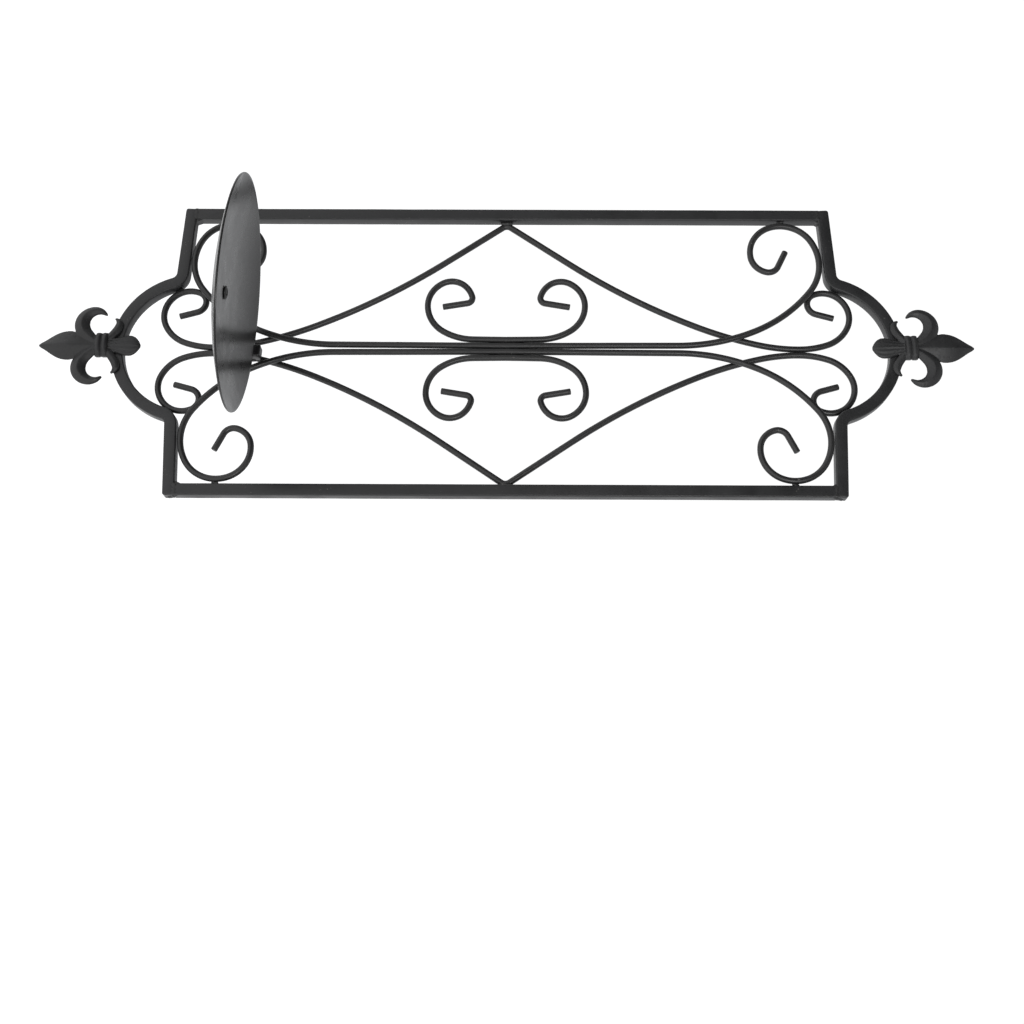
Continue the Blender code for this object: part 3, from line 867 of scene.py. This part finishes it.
def coating(name, colour, roughness, peel, chips, pitting=0.0, spun=False, dusty=0.16,
            shine=0.5):
    """Black powder coat: orange peel, dust on what faces up, rubbed edges and a few chips.

    roughness is a range, peel and pitting are bump heights in millimetres, chips is how high the
    noise has to reach before the coat is broken, dusty is the most dust there is, and shine is the
    strength of its reflections."""
    material = bpy.data.materials.new(name)
    material.use_nodes = True
    nodes, links = material.node_tree.nodes, material.node_tree.links
    shader = nodes["Principled BSDF"]
    spot = nodes.new("ShaderNodeTexCoord").outputs["Object"]
    geometry = nodes.new("ShaderNodeNewGeometry")

    def noise_of(size, detail=3.0):
        """Noise with lumps of a size in millimetres."""
        texture = nodes.new("ShaderNodeTexNoise")
        texture.inputs["Scale"].default_value = 1 / (size * MM)
        texture.inputs["Detail"].default_value = detail
        links.new(spot, texture.inputs["Vector"])
        return texture.outputs["Fac"]

    def ranged(value, low, high, out_low, out_high):
        """The value moved from one range to another, and held at its ends."""
        ramp = nodes.new("ShaderNodeMapRange")
        ramp.inputs["From Min"].default_value = low
        ramp.inputs["From Max"].default_value = high
        ramp.inputs["To Min"].default_value = out_low
        ramp.inputs["To Max"].default_value = out_high
        links.new(value, ramp.inputs["Value"])
        return ramp.outputs[0]

    def combined(kind, first, second):
        """Two values, each a socket or a number, under one sum."""
        step = nodes.new("ShaderNodeMath")
        step.operation = kind
        for socket, value in zip(step.inputs, (first, second)):
            if isinstance(value, (int, float)):
                socket.default_value = value
            else:
                links.new(value, socket)
        return step.outputs[0]

    def mixed(share, first, second):
        """Two colours mixed: at share 0 the first, at 1 the second."""
        mix = nodes.new("ShaderNodeMix")
        mix.data_type = "RGBA"
        links.new(share, mix.inputs["Factor"])
        for socket, value in ((mix.inputs[6], first), (mix.inputs[7], second)):
            if isinstance(value, tuple):
                socket.default_value = (*value, 1)
            else:
                links.new(value, socket)
        return mix.outputs[2]

    cloud = noise_of(14.0)
    fine = noise_of(1.1, 4.0)
    darker = tuple(c * 0.8 for c in colour)
    lighter = tuple(c * 1.35 for c in colour)
    coat = mixed(ranged(cloud, 0.3, 0.7, 0, 1), darker, lighter)
    upward = nodes.new("ShaderNodeSeparateXYZ")
    links.new(geometry.outputs["Normal"], upward.inputs[0])
    settled = ranged(upward.outputs["Z"], 0.55, 1.0, 0, dusty)
    dust = combined("MULTIPLY", settled, ranged(noise_of(5.0), 0.35, 0.65, 0.3, 1.0))
    coat = mixed(dust, coat, DUST)
    rubbed = combined("MULTIPLY", ranged(geometry.outputs["Pointiness"], 0.53, 0.60, 0, 0.35),
                      ranged(noise_of(3.0), 0.45, 0.65, 0, 1))
    coat = mixed(rubbed, coat, RUBBED_COAT)
    speck = ranged(noise_of(0.9, 1.0), chips, chips + 0.03, 0, 1)
    patch = ranged(noise_of(22.0, 2.0), 0.57, 0.66, 0, 1)
    bare = combined("MULTIPLY", speck, patch)
    coat = mixed(bare, coat, CHIPPED_COAT)
    links.new(coat, shader.inputs["Base Color"])
    shader.inputs["Specular IOR Level"].default_value = shine

    rough = combined("ADD", ranged(cloud, 0.3, 0.7, *roughness), ranged(fine, 0.3, 0.7, -0.03, 0.03))
    rough = combined("ADD", rough, combined("MULTIPLY", dust, 1.2))
    links.new(rough, shader.inputs["Roughness"])

    height = combined("MULTIPLY", noise_of(0.8, 2.0), peel)
    height = combined("ADD", height, combined("MULTIPLY", noise_of(6.0, 2.0), peel * 2.0))
    height = combined("SUBTRACT", height, combined("MULTIPLY", bare, CHIP_DEPTH))
    if pitting:
        pits = ranged(noise_of(1.6, 5.0), 0.56, 0.72, 0, pitting)
        height = combined("SUBTRACT", height, pits)
    if spun:
        height = combined("ADD", height, spin_rings(nodes, links, spot))
    bump = nodes.new("ShaderNodeBump")
    bump.inputs["Distance"].default_value = MM
    links.new(height, bump.inputs["Height"])
    links.new(bump.outputs[0], shader.inputs["Normal"])
    return material


def spin_rings(nodes, links, spot):
    """Faint rings left by the spinning tool, as a bump height in millimetres about the dish's axis."""
    centred = nodes.new("ShaderNodeVectorMath")
    centred.operation = "SUBTRACT"
    centred.inputs[1].default_value = DISH_MIDDLE * MM
    links.new(spot, centred.inputs[0])
    across = nodes.new("ShaderNodeVectorMath")
    across.operation = "CROSS_PRODUCT"
    across.inputs[1].default_value = DISH_UP
    links.new(centred.outputs[0], across.inputs[0])
    radius = nodes.new("ShaderNodeVectorMath")
    radius.operation = "LENGTH"
    links.new(across.outputs[0], radius.inputs[0])
    rings = nodes.new("ShaderNodeTexNoise")
    rings.noise_dimensions = "1D"
    rings.inputs["Scale"].default_value = 1 / (SPIN_PITCH * MM)
    rings.inputs["Detail"].default_value = 3.0
    links.new(radius.outputs["Value"], rings.inputs["W"])
    height = nodes.new("ShaderNodeMath")
    height.operation = "MULTIPLY"
    height.inputs[1].default_value = SPIN_HEIGHT
    links.new(rings.outputs["Fac"], height.inputs[0])
    return height.outputs[0]


# ---------------------------------------------------------------- scene

def stage_floor():
    """A plain white floor below the sconce, which stays out of the part."""
    mesh = bpy.data.meshes.new("studio_floor")
    z = CAD_BOUNDS[0][2] - FLOOR_DROP * MM
    corners = [(-1, -1), (1, -1), (1, 1), (-1, 1)]
    mesh.from_pydata([(FLOOR_HALF * x, FLOOR_HALF * y, z) for x, y in corners], [], [(0, 1, 2, 3)])
    floor = bpy.data.objects.new("studio_floor", mesh)
    bpy.context.collection.objects.link(floor)
    white = bpy.data.materials.new("floor_white")
    white.use_nodes = True
    shader = white.node_tree.nodes["Principled BSDF"]
    shader.inputs["Base Color"].default_value = (0.86, 0.86, 0.86, 1)
    shader.inputs["Roughness"].default_value = 0.9
    shader.inputs["Specular IOR Level"].default_value = 0.1
    shader.inputs["Emission Color"].default_value = (1, 1, 1, 1)
    shader.inputs["Emission Strength"].default_value = 0.65
    mesh.materials.append(white)


def camera():
    """The camera at the photograph's place."""
    lens = bpy.data.cameras.new("camera")
    lens.sensor_width = 36
    lens.lens = CAMERA_LENS
    lens.clip_start = 0.01
    eye = bpy.data.objects.new("camera", lens)
    turn = (Matrix.Rotation(math.radians(CAMERA_AZIMUTH), 4, "Z")
            @ Matrix.Rotation(math.radians(90 - CAMERA_ELEVATION), 4, "X")
            @ Matrix.Rotation(math.radians(CAMERA_ROLL), 4, "Z"))
    back = turn.to_3x3() @ Vector((0, 0, CAMERA_DISTANCE))
    eye.matrix_world = Matrix.Translation((Vector(CAMERA_AIM) + back) * MM) @ turn
    bpy.context.collection.objects.link(eye)
    bpy.context.scene.camera = eye


def area_light(name, place, aim, size, power):
    """A rectangular lamp. place, aim and size are in metres and power in watts."""
    data = bpy.data.lights.new(name, "AREA")
    data.shape = "RECTANGLE"
    data.size, data.size_y = size
    data.energy = power
    lamp = bpy.data.objects.new(name, data)
    lamp.location = place
    way = Vector(aim) - Vector(place)
    lamp.rotation_euler = way.to_track_quat("-Z", "Y").to_euler()
    bpy.context.collection.objects.link(lamp)


def surround():
    """A plain white world. The light that it gives is bright behind the sconce and dim in front."""
    world = bpy.data.worlds.new("studio")
    world.use_nodes = True
    nodes, links = world.node_tree.nodes, world.node_tree.links
    nodes.clear()
    out = nodes.new("ShaderNodeOutputWorld")
    seen = nodes.new("ShaderNodeBackground")
    seen.inputs["Color"].default_value = (1, 1, 1, 1)
    seen.inputs["Strength"].default_value = SEEN_STRENGTH
    felt = nodes.new("ShaderNodeBackground")
    felt.inputs["Color"].default_value = (0.97, 0.98, 1.0, 1)
    place = nodes.new("ShaderNodeTexCoord")
    behind = nodes.new("ShaderNodeVectorMath")
    behind.operation = "DOT_PRODUCT"
    behind.inputs[1].default_value = BRIGHT_SIDE
    ramp = nodes.new("ShaderNodeMapRange")
    ramp.inputs["From Min"].default_value, ramp.inputs["From Max"].default_value = FELT_TURN
    ramp.inputs["To Min"].default_value, ramp.inputs["To Max"].default_value = FELT_STRENGTH
    links.new(place.outputs["Generated"], behind.inputs[0])
    links.new(behind.outputs["Value"], ramp.inputs["Value"])
    links.new(ramp.outputs[0], felt.inputs["Strength"])
    path = nodes.new("ShaderNodeLightPath")
    mix = nodes.new("ShaderNodeMixShader")
    links.new(path.outputs["Is Camera Ray"], mix.inputs[0])
    links.new(felt.outputs[0], mix.inputs[1])
    links.new(seen.outputs[0], mix.inputs[2])
    links.new(mix.outputs[0], out.inputs[0])
    bpy.context.scene.world = world


def studio():
    """The surround, two soft lamps, the floor and the camera."""
    stage_floor()
    camera()
    surround()
    area_light("key", (0.75, -1.25, 0.35), (0, 0, 0), (0.5, 0.5), 6.5)
    area_light("top", (0.2, -0.5, 1.9), (0, 0, -0.3), (1.8, 1.8), 5)
    bpy.context.scene.view_settings.view_transform = "Standard"


def frame_pieces(black, rod_coat):
    """Scrolls, rails and end pieces: (piece, the CAD nodes that it stands for, slot)."""
    pieces = []
    for (side_name, side), seed in zip(SIDES, (1, 11)):
        for k, (kind, line, layer) in enumerate(SCROLLS):
            node = f"{kind}_{side_name}"
            piece = rod(f"{node}_rod", bend(*line), layer, side, seed + k, rod_coat)
            pieces.append((piece, [node], "scroll_black"))
        node = f"rail_{side_name}"
        pieces.append((rail(f"{node}_bar", side, seed + 5, black), [node], "frame_black"))
    for (end_name, up), seed in zip(ENDS, (30, 31)):
        node = f"arch_{end_name}"
        pieces.append((end_piece(f"{node}_bar", up, seed, black), [node], "frame_black"))
    return pieces


def main():
    """Makes the coats and the pieces, hangs each piece on the root body and hides the CAD nodes that
    it stands for, and sets up the studio.
    """
    black = coating("black_coat", (0.0105, 0.0105, 0.0112), (0.34, 0.50), peel=0.020, chips=0.72)
    rod_coat = coating("rod_coat", (0.0115, 0.0113, 0.0116), (0.32, 0.48), peel=0.016, chips=0.71)
    cast_coat = coating("cast_coat", (0.0105, 0.0105, 0.0110), (0.40, 0.56), peel=0.030, chips=0.72,
                        pitting=0.09)
    weld_coat = coating("weld_coat", (0.0110, 0.0108, 0.0110), (0.34, 0.52), peel=0.022, chips=0.70,
                        pitting=0.06)
    dish_coat = coating("dish_coat", (0.0095, 0.0093, 0.0092), (0.24, 0.31), peel=0.003, chips=0.74,
                        spun=True, dusty=0.03, shine=0.36)
    screw_coat = coating("screw_coat", (0.0060, 0.0060, 0.0062), (0.40, 0.55), peel=0.006,
                         chips=0.69)
    pieces = frame_pieces(black, rod_coat)
    pieces.append((dish_arm("dish_arm_bar", 41, black), ["dish_arm"], "frame_black"))
    pieces.append((candle_dish(dish_coat), ["candle_dish"], "dish_black"))
    for end_name, up in ENDS:
        node = f"finial_{end_name}"
        pieces.append((finial(f"{node}_casting", up, cast_coat), [node], "cast_black"))
    pieces.append((dish_screw(screw_coat), ["dish_screw"], "screw_black"))
    pieces += welds(weld_coat)
    for piece, nodes, slot in pieces:
        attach(piece, "root")
        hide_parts(*nodes)
    studio()


main()
